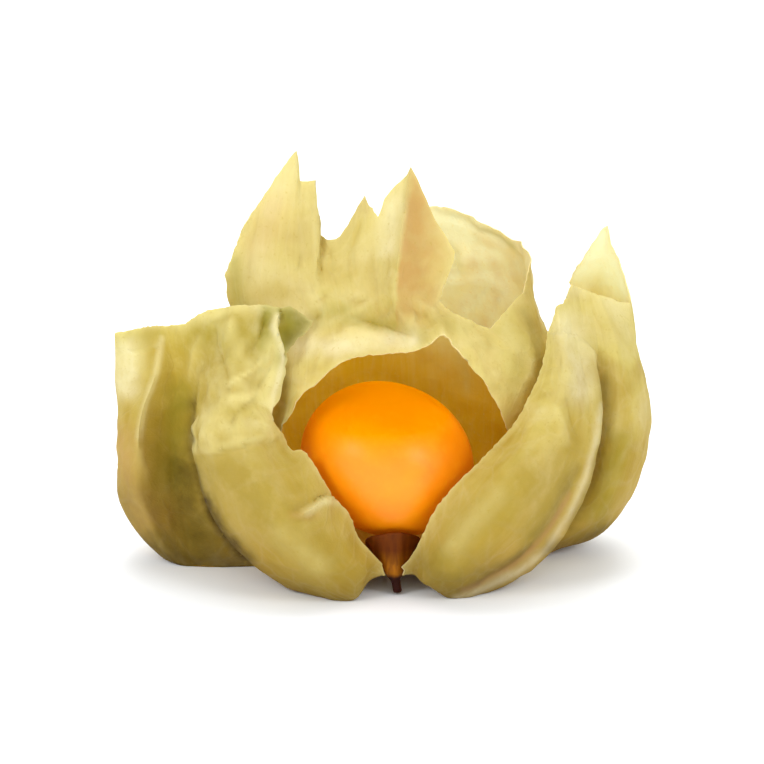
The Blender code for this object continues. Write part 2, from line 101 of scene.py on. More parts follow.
HOOD = [
    BACK[0][5:9]+[q(-147, 369, 13.2)],
    [q(-105, 164, 4.0), q(-106, 200, 5.0), q(-113, 250, 7.5), q(-126, 315, 11.5), q(-120, 410, 14.5)],
    [q(-88, 202, 4.2), q(-86, 230, 5.3), q(-88, 275, 8.0), q(-98, 340, 12.0), q(-91, 447, 15)],
    [q(-58, 229, 3.6), q(-60, 250, 4.8), q(-64, 285, 7.8), q(-72, 330, 10.5), q(-71, 418, 14)],
    [q(-36, 241, 3.4), q(-38, 258, 4.6), q(-43, 285, 7.2), q(-53, 325, 10), q(-59, 360, 12)],
    [q(-10, 245, 3.3), q(-13, 265, 4.8), q(-20, 290, 7.2), q(-26, 340, 10), q(-23, 403, 12.5)],
    [q(14, 247, 3.3), q(8, 267, 5.1), q(-4, 292, 7.7), q(-8, 338, 9.9), q(-10, 384, 11.5)],
    [q(32, 250, 3.3), q(23, 269, 5.0), q(9, 297, 7.0), q(11, 348, 7.7), q(23, 431, 12)],
    [q(44, 258, 3.5), q(39, 271, 5.2), q(31, 292, 7.4), q(43, 322, 9.0), q(62, 338, 10.0)],
    [q(52, 263, 3.7), q(51, 272, 5.0), q(46, 283, 6.2), q(46, 291, 7.0), q(52, 298, 7.8)],
    [q(67, 249, 4.0), q(66, 262, 5.0), q(65, 272, 5.7), q(65, 280, 6.3), q(66, 287, 7.0)],
    [q(90, 223, 4.6), q(90, 240, 5.2), q(89, 255, 5.8), q(85, 267, 6.4), q(80, 279, 7.2)],
    [q(109, 195, 5.8), q(120, 220, 6.3), q(124, 240, 7.0), q(120, 255, 7.8), q(106, 269, 8.5)],
    [q(120, 168, 7.0), q(144, 204, 8.2), q(154, 237, 9.2), q(152, 265, 10.8), q(135, 306, 12.6)],
    BACK[8][5:],
]

HOOD_EDGE = [
    (0,BACK[0][5]), (1,q(-105, 164, 4.0)), (1.3,q(-104, 175, 4.1)), (1.6,q(-96, 187, 4.2)), (2,q(-88, 202, 4.2)), (2.3,q(-82, 209, 4.1)), (2.6,q(-71, 216, 3.9)), (3,q(-57, 229, 3.6)),
    (3.4,q(-45, 237, 3.5)), (4,q(-30, 243, 3.4)), (5,q(-8, 245, 3.3)), (6,q(14, 247, 3.3)), (6.6,q(26, 248, 3.3)), (7,q(33, 250, 3.3)), (7.5,q(40, 254, 3.4)), (8,q(46, 259, 3.5)),
    (8.6,q(50, 262, 3.6)), (9,q(52, 263, 3.7)), (9.4,q(58, 260, 3.8)), (10,q(66, 251, 4.0)), (10.3,q(73, 241, 4.1)), (10.7,q(82, 230, 4.4)), (11,q(91, 222, 4.6)),
    (11.5,q(100, 210, 5.2)), (12,q(109, 194, 5.8)), (12.5,q(115, 180, 6.4)), (13,q(120, 167, 7.0)), (14,BACK[8][5]),
]
HOOD_TOP = [
    (0,q(-147, 369, 13.2)), (.25,q(-138, 384, 13.6)), (.55,q(-128, 398, 14.1)), (1,q(-118, 413, 14.5)), (1.35,q(-108, 427, 14.8)), (1.7,q(-99, 440, 15)), (2,q(-91, 449, 15)), (2.12,q(-89, 440, 15)),
    (2.22,q(-89, 429, 14.9)), (2.3,q(-88, 419, 14.8)), (2.45,q(-84, 418, 14.7)), (2.95,q(-71, 419, 14.2)), (3.05,q(-72, 410, 14.0)), (3.15,q(-74, 400, 13.8)), (3.25,q(-73, 390, 13.6)),
    (3.4,q(-70, 384, 13.3)), (3.5,q(-70, 371, 13.0)), (3.65,q(-67, 365, 12.8)), (4,q(-61, 360, 12.1)), (4.15,q(-55, 360, 12.1)), (4.3,q(-48, 363, 12.1)), (4.5,q(-40, 375, 12.2)),
    (4.7,q(-33, 387, 12.3)), (4.85,q(-28, 395, 12.4)), (5,q(-23, 404, 12.5)), (5.25,q(-19, 394, 12.3)), (5.5,q(-16, 391, 12.1)), (6,q(-10, 382, 11.6)), (6.15,q(-7, 388, 11.7)),
    (6.3,q(-3, 400, 11.8)), (6.5,q(5, 411, 11.9)), (6.7,q(12, 417, 12)), (6.9,q(20, 424, 12.0)), (7,q(23, 432, 12.0)), (7.12,q(29, 418, 11.8)), (7.25,q(36, 403, 11.5)),
    (7.37,q(41, 393, 11.2)), (7.5,q(47, 378, 10.8)), (7.7,q(58, 364, 10.2)), (7.9,q(66, 348, 9.8)), (8,q(65, 338, 9.6)), (8.3,q(61, 325, 9.0)), (8.7,q(54, 310, 8.3)),
    (9,q(51, 298, 7.8)), (9.5,q(58, 291, 7.3)), (10,q(66, 286, 7.0)), (10.5,q(74, 282, 7.1)), (11,q(81, 279, 7.2)), (11.5,q(90, 274, 7.6)), (12,q(100, 270, 8.2)),
    (12.3,q(111, 281, 9.4)), (12.7,q(123, 296, 11.2)), (13,q(135, 308, 12.6)), (14,BACK[8][9]),
]
BACK_TOP = [
    (0,w(-15.2, 15.0, 32.6)), (.4,q(-130, 368, 17.5)), (.7,q(-116, 379, 19)), (1,q(-103, 375, 20)), (1.5,q(-82, 367, 21.8)), (2,q(-63, 348, 23)), (2.5,q(-43, 354, 25.2)), (3,q(-23, 365, 27)),
    (3.5,q(-3, 379, 27.6)), (4,q(17, 388, 27.8)), (4.5,q(32, 392, 27.6)), (5,q(48, 394, 27.2)), (5.4,q(62, 393, 26.7)), (6,q(84, 383, 25.3)), (6.5,q(104, 373, 23.5)), (7,q(124, 363, 21.5)),
    (7.4,q(132, 357, 19.8)), (7.7,q(139, 347, 17.5)), (8,q(141, 338, 15.5)),
]
LEFT_TOP = [
    (0,q(-75, 278, 6.6)), (.25,q(-81, 283, 6.6)), (.5,q(-88, 288, 6.6)), (.75,q(-98, 292, 6.5)), (1,q(-107, 291, 6.5)), (1.4,q(-123, 294, 6.2)), (2,q(-140, 293, 5.8)), (2.5,q(-158, 292, 6.0)),
    (3,q(-177, 290, 6.5)), (3.4,q(-188, 286, 7.2)), (3.7,q(-195, 281, 7.6)), (4,q(-201, 277, 8.0)), (4.5,q(-211, 275, 8.8)), (5,q(-218, 275, 9.5)), (6,q(-229, 274, 10.5)), (6.5,q(-248, 272, 12.2)),
    (7,q(-272, 267, 14)), (8,w(-23.5, 18, 23.5)),
]
RIGHT_TOP = [
    (0,q(182, 317, 16.5)), (.15,q(185, 326, 16.6)), (.4,q(192, 338, 16.7)), (.65,q(202, 353, 16.7)), (.85,q(212, 367, 16.6)), (1,q(218, 374, 16.5)), (1.15,q(222, 362, 16.3)), (1.35,q(227, 348, 15.9)),
    (1.6,q(233, 332, 15.2)), (1.8,q(238, 316, 14.5)), (2,q(243, 296, 13.5)), (2.3,q(232, 298, 12.9)), (2.6,q(222, 302, 12.4)), (3,q(211, 305, 12)), (4,q(200, 309, 12.2)), (5,q(188, 313, 12.3)),
    (5.5,q(182, 315, 11.6)), (6,q(178, 305, 10.5)), (6.5,q(174, 296, 9.8)), (7,q(169, 294, 9)), (7.5,q(166, 287, 8.8)), (8,q(163, 279, 8.5)), (8.5,q(160, 271, 8.4)), (9,q(158, 265, 8.5)),
]
LEFT_EDGE = [
    (1,q(-6, 37, 1.2)), (1.5,q(-13, 44, .8)), (2,q(-21, 53, .4)), (2.4,q(-28, 61, .3)), (2.7,q(-32, 70, .2)), (3,q(-35, 80, .2)), (3.25,q(-41, 89, .3)), (3.4,q(-47, 95, .4)),
    (3.55,q(-54, 101, .6)), (3.7,q(-57, 105, .7)), (4,q(-61, 114, .9)), (4.5,q(-71, 131, 1.5)), (4.9,q(-79, 143, 1.9)), (5.1,q(-84, 150, 2.1)), (5.4,q(-94, 149, 2.5)), (5.7,q(-100, 154, 2.9)),
    (6,q(-105, 162, 3.2)), (6.3,q(-112, 168, 3.2)), (6.6,q(-118, 174, 3.1)), (7,q(-120, 186, 3.1)), (7.2,q(-117, 195, 3.2)), (7.4,q(-110, 200, 3.4)), (7.6,q(-108, 210, 3.7)), (7.8,q(-105, 222, 4.0)),
    (8,q(-105, 234, 4.3)), (8.3,q(-101, 246, 4.9)), (8.6,q(-90, 260, 5.7)), (8.8,q(-81, 269, 6.2)), (9,q(-75, 278, 6.6)),
]
RIGHT_EDGE = [
    (.5,q(12, 32, 1.3)), (1,q(20, 40, 1.0)), (1.5,q(28, 52, .2)), (2,q(36, 68, -.2)), (2.5,q(43, 84, -.1)), (3,q(53, 98, .2)), (3.5,q(67, 115, .8)), (4,q(82, 130, 1.5)),
    (4.5,q(98, 146, 2.4)), (5,q(114, 162, 3.5)), (5.5,q(128, 180, 4.3)), (6,q(138, 197, 5)), (6.5,q(144, 209, 5.5)), (7,q(150, 221, 6)), (7.5,q(154, 231, 6.6)), (8,q(156, 241, 7.2)),
    (8.5,q(158, 254, 7.9)), (9,q(158, 265, 8.5)),
]


# ---------------------------------------------------------------- spline tools
def spline_matrix(knots, at, creases=()):
    """Weights of a cubic through points at knots, for each position in at (knot index units).

    creases gives (knot, 0 to 1) for knots where the curve may turn sharply."""
    u = np.asarray(knots, float)
    n = len(u)
    slope = np.zeros((n, n))
    slope[0, 0], slope[0, 1] = -1 / (u[1] - u[0]), 1 / (u[1] - u[0])
    slope[-1, -2], slope[-1, -1] = -1 / (u[-1] - u[-2]), 1 / (u[-1] - u[-2])
    for i in range(1, n - 1):
        lo, hi = u[i] - u[i - 1], u[i + 1] - u[i]
        slope[i, i - 1] = -hi / (lo * (lo + hi))
        slope[i, i + 1] = lo / (hi * (lo + hi))
        slope[i, i] = -slope[i, i - 1] - slope[i, i + 1]
    after, before = slope.copy(), slope.copy()      # tangents leaving and reaching each knot
    for i, hard in creases:
        out_row, in_row = np.zeros(n), np.zeros(n)
        out_row[i], out_row[i + 1] = -1.5 / (u[i + 1] - u[i]), 1.5 / (u[i + 1] - u[i])
        in_row[i - 1], in_row[i] = -1.5 / (u[i] - u[i - 1]), 1.5 / (u[i] - u[i - 1])
        after[i] = (1 - hard) * slope[i] + hard * (out_row - .5 * slope[i + 1])
        before[i] = (1 - hard) * slope[i] + hard * (in_row - .5 * slope[i - 1])
    out = np.zeros((len(at), n))
    for k, x in enumerate(at):
        i = min(int(x), n - 2)
        t = x - i
        span = u[i + 1] - u[i]
        out[k] = (t ** 3 - 2 * t * t + t) * span * after[i] + (t ** 3 - t * t) * span * before[i + 1]
        out[k, i] += 2 * t ** 3 - 3 * t * t + 1
        out[k, i + 1] += -2 * t ** 3 + 3 * t * t
    return out


def steps(counts):
    """Positions in knot index units, counts[i] steps in interval i."""
    return np.concatenate([i + np.arange(c) / c for i, c in enumerate(counts)] + [[len(counts)]])


def polyline(table, at):
    """Points along a table of (position, point)."""
    pos = [row[0] for row in table]
    pts = np.array([row[1] for row in table])
    return np.stack([np.interp(at, pos, pts[:, k]) for k in range(3)], -1)


def smooth(x, lo, hi):
    t = np.clip((x - lo) / (hi - lo), 0, 1)
    return t * t * (3 - 2 * t)


LOBE_KNOTS = [0, .35, 1.5, 2.5, 3.5, 4.5, 5.5, 6.5, 7.5, 8.5]
HOOD_KNOTS = [0, .6, 1.4, 2.6, 4]
T_COUNTS = [5, 18, 14, 13, 13, 13, 13, 14, 16]
LOBE_T, HOOD_T = steps(T_COUNTS), steps(T_COUNTS[5:])


def surface(net, knots, t_at, per_s, top=None, first=None, last=None, bottom=None, creases=()):
    """Smooth sheet through a net. top and bottom are margins (position, point) across it; first and last are its side margins."""
    net = np.array(net, float)
    s_at = steps([per_s] * (len(net) - 1))
    cols = np.einsum('ai,ijk->ajk', spline_matrix(range(len(net)), s_at, creases), net)
    cols[:, -1] = polyline(top if top else [(i, r[-1]) for i, r in enumerate(net)], s_at)
    if bottom:
        cols[:, 0] = polyline(bottom, s_at)
    pts = np.einsum('bj,ajk->abk', spline_matrix(knots, t_at), cols)
    for edge, i, step in ((first, 0, 1), (last, -1, -1)):
        if edge:
            at = polyline(edge, t_at)
            lo, hi = edge[0][0], edge[-1][0]
            move = (at - pts[i]) * ((t_at >= lo) & (t_at <= hi))[:, None]
            for k in range(per_s + 1):
                j = k if step == 1 else len(s_at) - 1 - k
                pts[j] += move * (1 - smooth(k / per_s, 0, 1))
    return pts, s_at


left, LS = surface(LEFT, LOBE_KNOTS, LOBE_T, 15, top=LEFT_TOP, first=LEFT_EDGE, creases=[(3, .85), (6, .6)])
back, BS = surface(BACK, LOBE_KNOTS, LOBE_T, 9, top=BACK_TOP)
right, RS = surface(RIGHT, LOBE_KNOTS, LOBE_T, 13, top=RIGHT_TOP, last=RIGHT_EDGE, creases=[(4, .6), (5, .9), (6, .9)])
hood, HS = surface(HOOD, HOOD_KNOTS, HOOD_T, 10, top=HOOD_TOP, bottom=HOOD_EDGE, creases=[(7, .8)])
JOIN = sum(T_COUNTS[:2])
SIDE = sum(T_COUNTS[:5])
TORN = sum(T_COUNTS[5:8])
left[-1][:JOIN + 1] = back[0][:JOIN + 1] = (left[-1][:JOIN + 1] + back[0][:JOIN + 1]) / 2
right[0][:JOIN + 1] = back[-1][:JOIN + 1] = (right[0][:JOIN + 1] + back[-1][:JOIN + 1]) / 2
hood[0][:TORN + 1] = back[0][SIDE:SIDE + TORN + 1]
hood[-1] = back[-1][SIDE:]

# ---------------------------------------------------------------- one sheet from the four nets
SHEETS = {'left': (left, LS, LOBE_T), 'back': (back, BS, LOBE_T),
          'right': (right, RS, LOBE_T), 'hood': (hood, HS, HOOD_T)}
points, number, owner = [], {}, []
for name, (g, s_at, t_at) in SHEETS.items():
    ids = np.zeros(g.shape[:2], int)
    for i in range(g.shape[0]):
        for j in range(g.shape[1]):
            if name == 'back' and i == 0 and j <= JOIN:
                ids[i, j] = number['left'][-1, j]
            elif name == 'right' and i == 0 and j <= JOIN:
                ids[i, j] = number['back'][-1, j]
            elif name == 'hood' and i == 0 and j <= TORN:
                ids[i, j] = number['back'][0, SIDE + j]
            elif name == 'hood' and i == g.shape[0] - 1:
                ids[i, j] = number['back'][-1, SIDE + j]
            else:
                ids[i, j] = len(points)
                points.append(g[i, j])
                owner.append((name, s_at[i], t_at[j] + (5 if name == 'hood' else 0)))
    number[name] = ids
points = np.array(points)
quads, quad_uv = [], []
for gi, (name, (g, s_at, t_at)) in enumerate(SHEETS.items()):
    ids = number[name]
    ds = np.linalg.norm(np.diff(g, axis=0), axis=2).mean(1)
    dt = np.linalg.norm(np.diff(g, axis=1), axis=2).mean(0)
    us = np.concatenate([[0], np.cumsum(ds)]) + gi * 100
    vs = np.concatenate([[0], np.cumsum(dt)])
    for i in range(g.shape[0] - 1):
        for j in range(g.shape[1] - 1):
            a, b, c, d = (i, j), (i + 1, j), (i + 1, j + 1), (i, j + 1)
            order = (a, d, c, b) if name != 'hood' else (a, b, c, d)
            quads.append([ids[k] for k in order])
            quad_uv.append([(us[k[0]], vs[k[1]]) for k in order])
quads = np.array(quads)
quad_uv = np.array(quad_uv)


def vertex_normals(pts, quads):
    n = np.zeros_like(pts)
    p = pts[quads]
    for k in range(4):
        e1 = p[:, (k + 1) % 4] - p[:, k]
        e2 = p[:, (k + 3) % 4] - p[:, k]
        f = np.cross(e1, e2)
        f /= np.linalg.norm(f, axis=1)[:, None] + 1e-12
        np.add.at(n, quads[:, k], f)
    return n / (np.linalg.norm(n, axis=1)[:, None] + 1e-12)


# ---------------------------------------------------------------- folds, ribs and crumple
# Strokes are drawn over one sheet in across / rise units: (sheet, shape, height in mm, half width in units, path).
# ridge: sharp crest; round: soft crest; step: raised on the right-hand side of the path. Negative heights press in.
STROKES = [
    # front-left lobe
    ('left', 'ridge', .30, 12, [(-192, 156), (-173, 154), (-156, 158), (-138, 162), (-120, 164), (-101, 166)]),
    ('left', 'step', .42, 9, [(-100, 163), (-120, 160), (-138, 157), (-156, 152), (-174, 148), (-190, 148)]),
    ('left', 'round', .40, 7, [(-128, 250), (-141, 229), (-156, 208)]),
    ('left', 'ridge', -.60, 7, [(-174, 274), (-169, 250), (-160, 220), (-156, 202)]),
    ('left', 'round', .40, 7, [(-156, 282), (-152, 260), (-148, 238)]),
    ('left', 'ridge', -.55, 6, [(-122, 291), (-123, 275), (-128, 260), (-138, 248)]),
    ('left', 'round', .45, 5, [(-117, 266), (-121, 248), (-126, 228)]),
    ('left', 'ridge', -.45, 4, [(-116, 238), (-122, 220), (-132, 208)]),
    ('left', 'ridge', .55, 4, [(-110, 288), (-114, 274), (-113, 260), (-107, 244)]),
    ('left', 'step', -.95, 12, [(-104, 240), (-109, 255), (-110, 270), (-108, 294)]),
    ('left', 'ridge', -.55, 6, [(-124, 206), (-138, 198), (-151, 186), (-160, 168)]),
    ('left', 'round', .35, 6, [(-116, 205), (-124, 188), (-128, 170)]),
    ('left', 'ridge', -.30, 4, [(-148, 220), (-136, 228), (-126, 229)]),
    ('left', 'round', .30, 9, [(-172, 200), (-176, 175), (-174, 155)]),
    ('left', 'step', .60, 6, [(-96, 85), (-85, 88), (-77, 93), (-69, 101), (-52, 103)]),
    ('left', 'ridge', -.40, 3, [(-100, 90), (-88, 92), (-74, 100), (-58, 106)]),
    ('left', 'ridge', -.30, 3, [(-94, 80), (-82, 82), (-70, 84)]),
    ('left', 'round', .25, 4, [(-68, 96), (-58, 100), (-47, 94)]),
    ('left', 'ridge', .20, 5, [(-42, -3), (-28, 9), (-12, 23), (-2, 31)]),
    ('left', 'round', .25, 12, [(-118, 80), (-88, 50), (-53, 25)]),
    ('left', 'ridge', .28, 4, [(-225, 262), (-231, 228), (-244, 193), (-250, 164), (-248, 140), (-241, 110)]),
    ('left', 'step', .40, 4, [(-222, 256), (-238, 250), (-252, 249), (-271, 250)]),
    ('left', 'ridge', .30, 5, [(-183, 270), (-192, 250), (-198, 215)]),
    # band over the berry
    ('hood', 'step', .55, 7, [(-72, 395), (-69, 350), (-70, 310)]),
    ('hood', 'ridge', -.35, 3, [(-68, 386), (-66, 350), (-67, 316)]),
    ('hood', 'ridge', -.30, 2.5, [(-88, 346), (-90, 328)]),
    ('hood', 'ridge', -.30, 3, [(-59, 358), (-57, 338), (-53, 324)]),
    ('hood', 'ridge', -.50, 5, [(-32, 282), (-16, 279), (0, 274), (15, 267), (28, 261)]),
    ('hood', 'round', .25, 6, [(8, 283), (17, 282), (26, 275)]),
    ('hood', 'ridge', .28, 5, [(24, 300), (36, 295), (52, 287)]),
    ('hood', 'ridge', -.25, 4, [(20, 294), (29, 288), (40, 281)]),
    ('hood', 'ridge', -.30, 3, [(-60, 306), (-70, 297)]),
    ('hood', 'ridge', -.30, 3, [(-67, 287), (-75, 279)]),
    ('hood', 'ridge', .30, 4, [(-88, 300), (-70, 310), (-54, 314)]),
    ('hood', 'ridge', -.25, 3, [(-48, 304), (-32, 298), (-16, 300)]),
    ('hood', 'round', .35, 7, [(-48, 270), (-23, 262), (4, 259)]),
    ('hood', 'ridge', -.30, 6, [(-126, 390), (-138, 350), (-138, 305)]),
    ('hood', 'ridge', .25, 5, [(-93, 440), (-104, 390), (-112, 338)]),
    ('hood', 'ridge', -.30, 5, [(-24, 385), (-36, 355), (-43, 320)]),
    ('hood', 'ridge', -.25, 4, [(0, 395), (-2, 350), (0, 310)]),
    ('hood', 'round', .35, 6, [(64, 265), (80, 250), (96, 228)]),
    ('hood', 'round', .18, 8, [(118, 282), (126, 255), (120, 225)]),
    ('hood', 'ridge', -.30, 4, [(136, 284), (146, 262), (149, 238), (144, 216)]),
    ('hood', 'ridge', -.30, 4, [(82, 278), (98, 262), (106, 248)]),
    # back wall
    ('back', 'round', .40, 7, [(64, 364), (78, 350), (81, 328), (70, 308)]),
    ('back', 'ridge', -.30, 4, [(56, 360), (68, 344), (68, 320)]),
    ('back', 'round', .35, 5, [(112, 322), (101, 302), (90, 280)]),
    ('back', 'ridge', -.30, 4, [(104, 324), (92, 304), (80, 288)]),
    ('back', 'round', .30, 5, [(128, 338), (124, 310), (112, 282)]),
    ('back', 'ridge', -.30, 2.5, [(49, 389), (77, 379), (103, 365), (126, 352)]),
    ('back', 'ridge', -.40, 6, [(70, 255), (77, 228), (80, 198)]),
    # right-hand lobes
    ('right', 'ridge', -.25, 3, [(80, 12), (101, 22), (120, 33), (138, 49), (156, 71)]),
    ('right', 'step', .34, 7, [(158, 267), (174, 266), (188, 262), (197, 256), (204, 246), (208, 234)]),
    ('right', 'ridge', -.40, 5, [(176, 208), (183, 185), (191, 160)]),
    ('right', 'round', .30, 6, [(165, 200), (172, 175), (178, 150)]),
    ('right', 'ridge', -.30, 7, [(112, 128), (134, 142), (158, 154)]),
    ('right', 'round', .30, 10, [(52, 40), (87, 80), (122, 120)]),
    ('right', 'ridge', -.25, 6, [(172, 282), (174, 250), (168, 220)]),
    ('right', 'ridge', .20, 5, [(220, 290), (228, 250), (230, 200), (224, 150)]),
    ('right', 'ridge', -.20, 5, [(202, 295), (212, 270), (218, 248)]),
]
# Tints: (sheet, mask, strength, half width in units, path). A negative half width tints only the right-hand side of the
# path. Much of this is painted light: the dark tints are painted shade in valleys, creases and under folds; the deep
# tints are partly the husk's olive tone and partly painted shade in valleys and hollows; the highlight tints are
# painted highlights on crests and folds; the pale tints are partly paler tissue and partly painted light (highlights on
# ribs, bright edges and the torn lip, light through the thin tips and the back wall); green and tan are the husk's own
# tones, except the tan over the ridge's right facet.
TINTS = [
    ('left', 'green', 1.0, 19, [(-100, 292), (-88, 278), (-96, 260), (-103, 244)]),
    ('left', 'dark', .38, 9, [(-90, 286), (-84, 276), (-94, 256)]),
    ('left', 'green', .8, 8, [(-120, 292), (-122, 275), (-124, 255)]),
    ('left', 'green', .2, 7, [(-268, 262), (-248, 263), (-228, 265)]),
    ('left', 'deep', 1.0, 24, [(-202, 250), (-206, 200), (-204, 150), (-192, 70)]),
    ('left', 'green', .5, 16, [(-208, 205), (-216, 160), (-216, 120)]),
    ('left', 'dark', .45, 22, [(-204, 130), (-198, 80), (-183, 45)]),
    ('left', 'dark', .65, -9, [(-190, 195), (-194, 150), (-180, 95), (-148, 44)]),
    ('left', 'dark', .8, 9, [(-182, 100), (-166, 70), (-142, 40)]),
    ('left', 'dark', .55, 14, [(-238, 60), (-208, 38), (-148, 34)]),
    ('left', 'dark', .28, 26, [(-266, 100), (-243, 60), (-218, 44)]),
    ('left', 'deep', .8, 20, [(-228, 255), (-238, 210), (-242, 160), (-238, 100)]),
    ('left', 'tan', .5, 16, [(-264, 160), (-260, 115), (-243, 80)]),
    ('left', 'pale', .35, 3, [(-225, 262), (-231, 228), (-244, 193), (-249, 164)]),
    ('left', 'pale', .7, 14, [(-260, 248), (-262, 215)]),
    ('left', 'deep', .9, 34, [(-156, 130), (-113, 90), (-68, 40)]),
    ('left', 'deep', .6, 26, [(-98, 140), (-78, 80), (-48, 30)]),
    ('left', 'deep', .6, 16, [(-170, 270), (-160, 228)]),
    ('left', 'deep', .7, 15, [(-144, 282), (-142, 250), (-150, 210)]),
    ('left', 'lit', .9, 8, [(-118, 252), (-117, 228), (-122, 200)]),
    ('left', 'lit', .9, 7, [(-152, 201), (-138, 204), (-128, 208)]),
    ('left', 'lit', .9, 3, [(-158, 216), (-142, 227), (-128, 238)]),
    ('left', 'lit', .8, 6, [(-131, 188), (-126, 182)]),
    ('left', 'lit', .6, 12, [(-174, 180), (-152, 174), (-130, 174)]),
    ('left', 'lit', .8, 4, [(-190, 182), (-194, 164), (-191, 150)]),
    ('left', 'lit', .6, 8, [(-182, 284), (-164, 288), (-144, 290)]),
    ('left', 'deep', .9, 18, [(-186, 265), (-178, 230), (-182, 200)]),
    ('left', 'deep', .9, 20, [(-148, 275), (-144, 250)]),
    ('left', 'green', .28, 26, [(-183, 272), (-153, 266), (-126, 260)]),
    ('left', 'deep', .6, 7, [(-167, 252), (-163, 232)]),
    ('left', 'deep', .6, 8, [(-160, 224), (-150, 214)]),
    ('left', 'lit', .3, 4, [(-82, 89), (-74, 94), (-64, 99), (-50, 100)]),
    ('left', 'pale', .9, 3, [(-111, 282), (-115, 270), (-112, 258), (-107, 244), (-111, 220), (-118, 200), (-120, 180)]),
    ('left', 'tan', .35, 4, [(-95, 86), (-82, 83), (-70, 86)]),
    ('left', 'pale', .4, 3, [(-82, 87), (-75, 92), (-66, 98), (-50, 99)]),
    ('hood', 'green', .45, 9, [(-38, 278), (-3, 274), (32, 262)]),
    ('hood', 'green', .35, 10, [(-70, 282), (-43, 288)]),
    ('hood', 'green', .2, 16, [(118, 278), (130, 255), (120, 215)]),
    ('hood', 'lit', .6, 20, [(82, 260), (102, 235), (112, 205)]),
    ('hood', 'green', .3, 11, [(52, 278), (72, 270), (92, 255)]),
    ('hood', 'green', .4, 5, [(-152, 338), (-151, 310)]),
    ('hood', 'green', .4, 8, [(-154, 338), (-148, 300), (-126, 282)]),
    ('hood', 'tan', .35, 18, [(-113, 395), (-126, 360)]),
    # pink-brown over the ridge's right facet: painted shade on the side turned from the light
    ('hood', 'tan', 1.0, -40, [(10, 324), (11, 348), (23, 432)]),
    ('hood', 'pale', .6, 10, [(4, 395), (0, 350)]),
    ('hood', 'pale', .2, 12, [(-103, 420), (-126, 375), (-136, 330)]),
    ('hood', 'deep', .35, 20, [(-58, 330), (-28, 330), (-8, 310)]),
    ('hood', 'deep', .35, 16, [(-133, 300), (-98, 310)]),
    ('hood', 'dark', .22, 5, [(136, 288), (148, 262), (152, 238), (146, 214)]),
    ('hood', 'dark', .40, 7, [(-104, 228), (-102, 200), (-108, 172)]),
    ('hood', 'pale', .6, 10, [(-88, 255), (-58, 252), (-8, 258), (22, 258)]),
    ('back', 'pale', 1.0, 60, [(52, 360), (92, 310)]),
    ('back', 'tan', .7, 6, [(51, 362), (62, 342), (60, 316)]),
    ('back', 'tan', 1.0, 6, [(86, 342), (92, 322), (76, 294)]),
    ('back', 'tan', .7, 5, [(106, 338), (112, 316), (100, 290)]),
    ('back', 'tan', .8, 5, [(124, 324), (108, 296), (96, 276)]),
    ('back', 'deep', .5, 10, [(67, 282), (87, 278)]),
    ('back', 'deep', .5, 8, [(64, 300), (74, 316), (72, 338)]),
    ('back', 'green', .8, 3, [(49, 391), (77, 382), (103, 368), (126, 355)]),
    ('right', 'pale', .45, 4, [(67, 3), (97, 13), (130, 30), (157, 52), (180, 84), (197, 120), (207, 160), (212, 195)]),
    ('right', 'tan', .9, 3, [(74, 12), (94, 19), (120, 33), (142, 51), (162, 76), (180, 106)]),
    ('right', 'dark', .4, 5, [(70, 12), (94, 21), (120, 37), (140, 55)]),
    ('right', 'dark', .25, 7, [(140, 55), (164, 88), (186, 130)]),
    ('right', 'deep', 1.0, 14, [(140, 68), (164, 108), (184, 154)]),
    ('right', 'pale', .5, 16, [(174, 275), (187, 250), (192, 210)]),
    ('right', 'deep', .9, 26, [(62, 40), (92, 80), (142, 120)]),
    ('right', 'dark', .22, 16, [(32, 40), (62, 15), (102, 30)]),
    ('right', 'deep', .5, 9, [(186, 70), (212, 110), (224, 145)]),
    ('right', 'green', .35, 12, [(212, 80), (224, 120), (232, 160)]),
    ('right', 'dark', .35, 10, [(162, 52), (192, 58), (216, 70)]),
    ('right', 'dark', .3, 6, [(216, 220), (218, 170), (206, 120), (182, 75)]),
    ('right', 'pale', .9, 22, [(187, 330), (216, 350), (232, 315)]),
    ('right', 'deep', .3, 22, [(197, 270), (224, 265)]),
]
seed = Vector((3.1, 7.7, 1.9))
names = np.array([o[0] for o in owner])
s_of = np.array([o[1] for o in owner], float)
t_of = np.array([o[2] for o in owner], float)
masks = {k: np.zeros(len(points)) for k in ("margin", "green", "pale", "tan", "deep", "dark", "lit", "crumple")}
side = np.ones(len(points))          # 0 on the seams between sheets
uv_of = np.zeros((len(points), 2))
for name, (g, s_at, t_at) in SHEETS.items():
    ids = number[name]
    ends = smooth(np.minimum(s_at - s_at[0], s_at[-1] - s_at), 0, .7)
    side[ids] = np.minimum(side[ids], ends[:, None])
    ds = np.linalg.norm(np.diff(g, axis=0), axis=2).mean(1)
    dt = np.linalg.norm(np.diff(g, axis=1), axis=2).mean(0)
    uv_of[ids, 0] = np.concatenate([[0], np.cumsum(ds)])[:, None] + 37 * len(name)
    uv_of[ids, 1] = np.concatenate([[0], np.cumsum(dt)])[None, :]
seen = np.stack([points[:, 0], points[:, 2] * math.cos(LEAN) + points[:, 1] * math.sin(LEAN)], -1) / UNIT


def along(path, pts):
    """Distance to a path, signed by side (right positive), and position along it from 0 to 1."""
    path = np.array(path, float)
    seg = np.diff(path, axis=0)
    length = np.linalg.norm(seg, axis=1)
    start = np.concatenate([[0], np.cumsum(length)])
    best = np.full(len(pts), 1e9)
    sign = np.ones(len(pts))
    where = np.zeros(len(pts))
    for a, d, l, s0 in zip(path, seg, length, start):
        rel = pts - a
        k = np.clip((rel @ d) / (l * l), 0, 1)
        gap = rel - k[:, None] * d
        dist = np.linalg.norm(gap, axis=1)
        closer = dist < best
        best[closer] = dist[closer]
        sign[closer] = np.where((d[0] * rel[:, 1] - d[1] * rel[:, 0])[closer] < 0, 1, -1)
        where[closer] = (s0 + k[closer] * l) / start[-1]
    return best, sign, where


